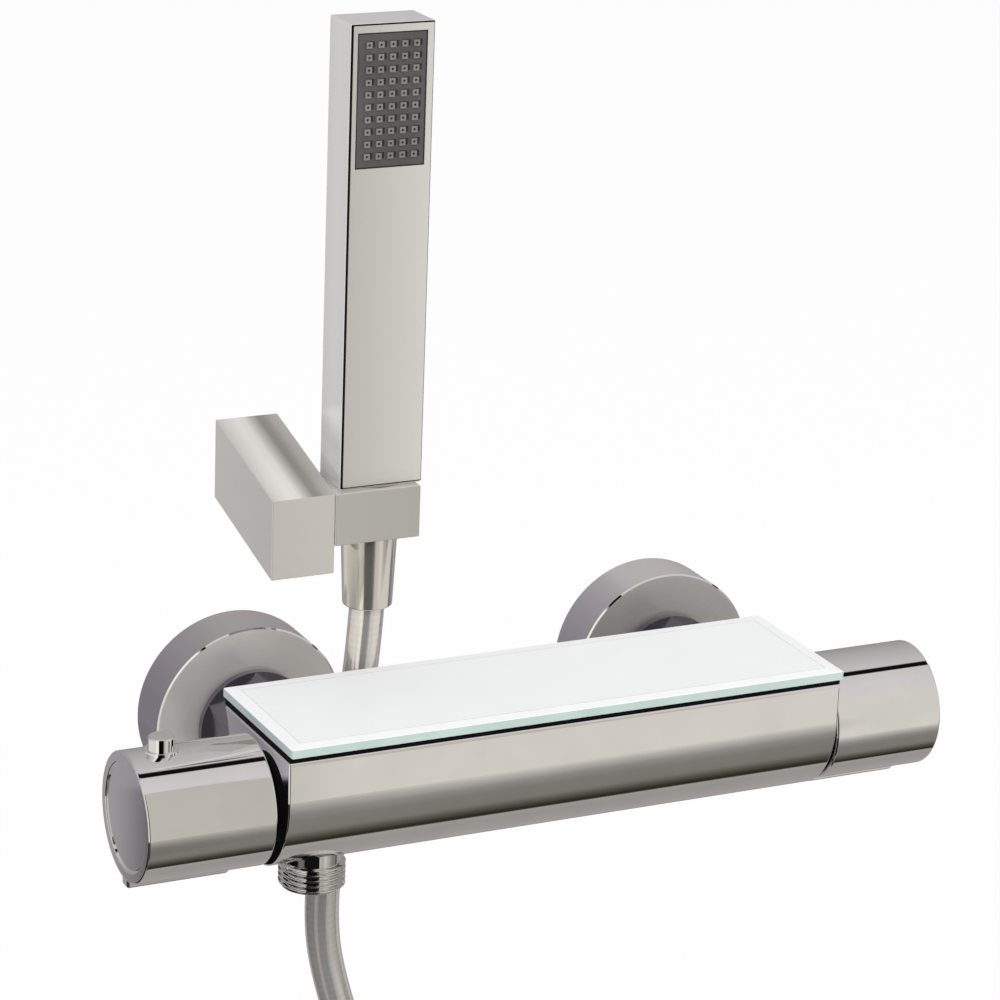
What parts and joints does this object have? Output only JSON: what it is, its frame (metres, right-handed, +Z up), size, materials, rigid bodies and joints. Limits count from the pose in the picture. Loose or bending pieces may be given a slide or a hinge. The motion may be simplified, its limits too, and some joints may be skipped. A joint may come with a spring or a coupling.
{
  "type": "shower set",
  "caption": "Wall-mounted thermostatic shower mixer bar with a glass shelf and end knobs, and a stick hand shower on a square wall bracket with its hose.",
  "frame": {"origin": "midway between the two wall inlets, on the wall plane", "axes": "+X to the right along the mixer, -Y out of the wall into the room, +Z up"},
  "size_m": [0.2752, 0.1153, 0.4925],
  "materials": {
    "chromed_brass": "polished chrome plate on brass",
    "satin_nickel": "satin plated metal",
    "silver_hose": "smooth silver-effect sheath",
    "black_rubber": "matt black rubber",
    "white_glass": "white back-painted glass with a bevelled rim",
    "dark_plastic": "dark grey moulded plastic",
    "nozzle_rubber": "grey silicone",
    "bare_brass": "machined brass",
    "white_plastic": "moulded plastic",
    "steel_hardware": "plain steel"
  },
  "bodies": {
    "wall_set": {"mixer_body": "chromed_brass", "shelf_pad": "black_rubber", "glass_shelf": "white_glass", "outlet_nipple": "chromed_brass", "outlet_seal": "black_rubber", "left_union": "chromed_brass", "left_union_washer": "black_rubber", "left_union_nut": "chromed_brass", "left_check_valve": "white_plastic", "left_escutcheon": "chromed_brass", "right_union": "chromed_brass", "right_union_washer": "black_rubber", "right_union_nut": "chromed_brass", "right_check_valve": "white_plastic", "right_escutcheon": "chromed_brass", "temperature_cartridge": "bare_brass", "temperature_cartridge_nut": "bare_brass", "temperature_stop_ring": "chromed_brass", "flow_cartridge": "bare_brass", "flow_cartridge_nut": "bare_brass", "flow_stop_ring": "chromed_brass", "bracket_block": "satin_nickel", "bracket_wall_plate": "steel_hardware", "bracket_wall_screws": "steel_hardware", "bracket_grub_screw": "steel_hardware", "holder": "satin_nickel", "holder_screw": "steel_hardware", "hose_drop": "silver_hose", "hose_coil": "silver_hose", "hose_tie": "black_rubber", "hose_end_ferrule": "bare_brass"},
    "temperature_control": {"temperature_knob": "chromed_brass", "temperature_knob_hub": "white_plastic", "temperature_spindle": "bare_brass", "temperature_knob_screw": "steel_hardware", "temperature_end_cap": "chromed_brass", "safety_button_spring": "steel_hardware"},
    "safety_button": {"safety_button": "chromed_brass"},
    "flow_control": {"flow_knob": "chromed_brass", "flow_knob_hub": "white_plastic", "flow_spindle": "bare_brass", "flow_knob_screw": "steel_hardware", "flow_end_cap": "chromed_brass"},
    "hose_top": {"hose_top_ferrule": "bare_brass"},
    "handset": {"handset_body": "satin_nickel", "spray_plate": "dark_plastic", "spray_nozzles": "nozzle_rubber", "spray_tray": "white_plastic", "handset_inlet": "bare_brass", "handset_flow_tube": "white_plastic", "handset_washer": "black_rubber", "hose_top_nut": "satin_nickel"},
    "hose_nut": {"hose_end_nut": "satin_nickel", "hose_end_washer": "black_rubber"}
  },
  "joints": [
    {"name": "temperature_turn", "type": "hinge", "parent": "wall_set", "child": "temperature_control", "pos_m": [-0.1, -0.0767, 0], "axis": [1, 0, 0], "range_deg": [-140, 70]},
    {"name": "safety_press", "type": "slide", "parent": "temperature_control", "child": "safety_button", "axis": [0, 0, -1], "range_m": [0, 0.003], "stiffness_N_per_m": 500, "springref_m": -0.002, "deforming": ["safety_button_spring"]},
    {"name": "flow_turn", "type": "hinge", "parent": "wall_set", "child": "flow_control", "pos_m": [0.1, -0.0767, 0], "axis": [1, 0, 0], "range_deg": [0, 90]},
    {"name": "handset_lift", "type": "slide", "parent": "wall_set", "child": "hose_top", "axis": [0, 0, 1], "range_m": [0, 0.06], "deforming": ["hose_drop"]},
    {"name": "handset_swivel", "type": "hinge", "parent": "hose_top", "child": "handset", "pos_m": [-0.0437, -0.037, 0.08], "axis": [0, 0, 1], "range_deg": [-90, 90]},
    {"name": "end_nut_spin", "type": "hinge", "parent": "wall_set", "child": "hose_nut", "pos_m": [-0.032, -0.0645, -0.2525], "axis": [0, 0, 1], "continuous": true}
  ]
}
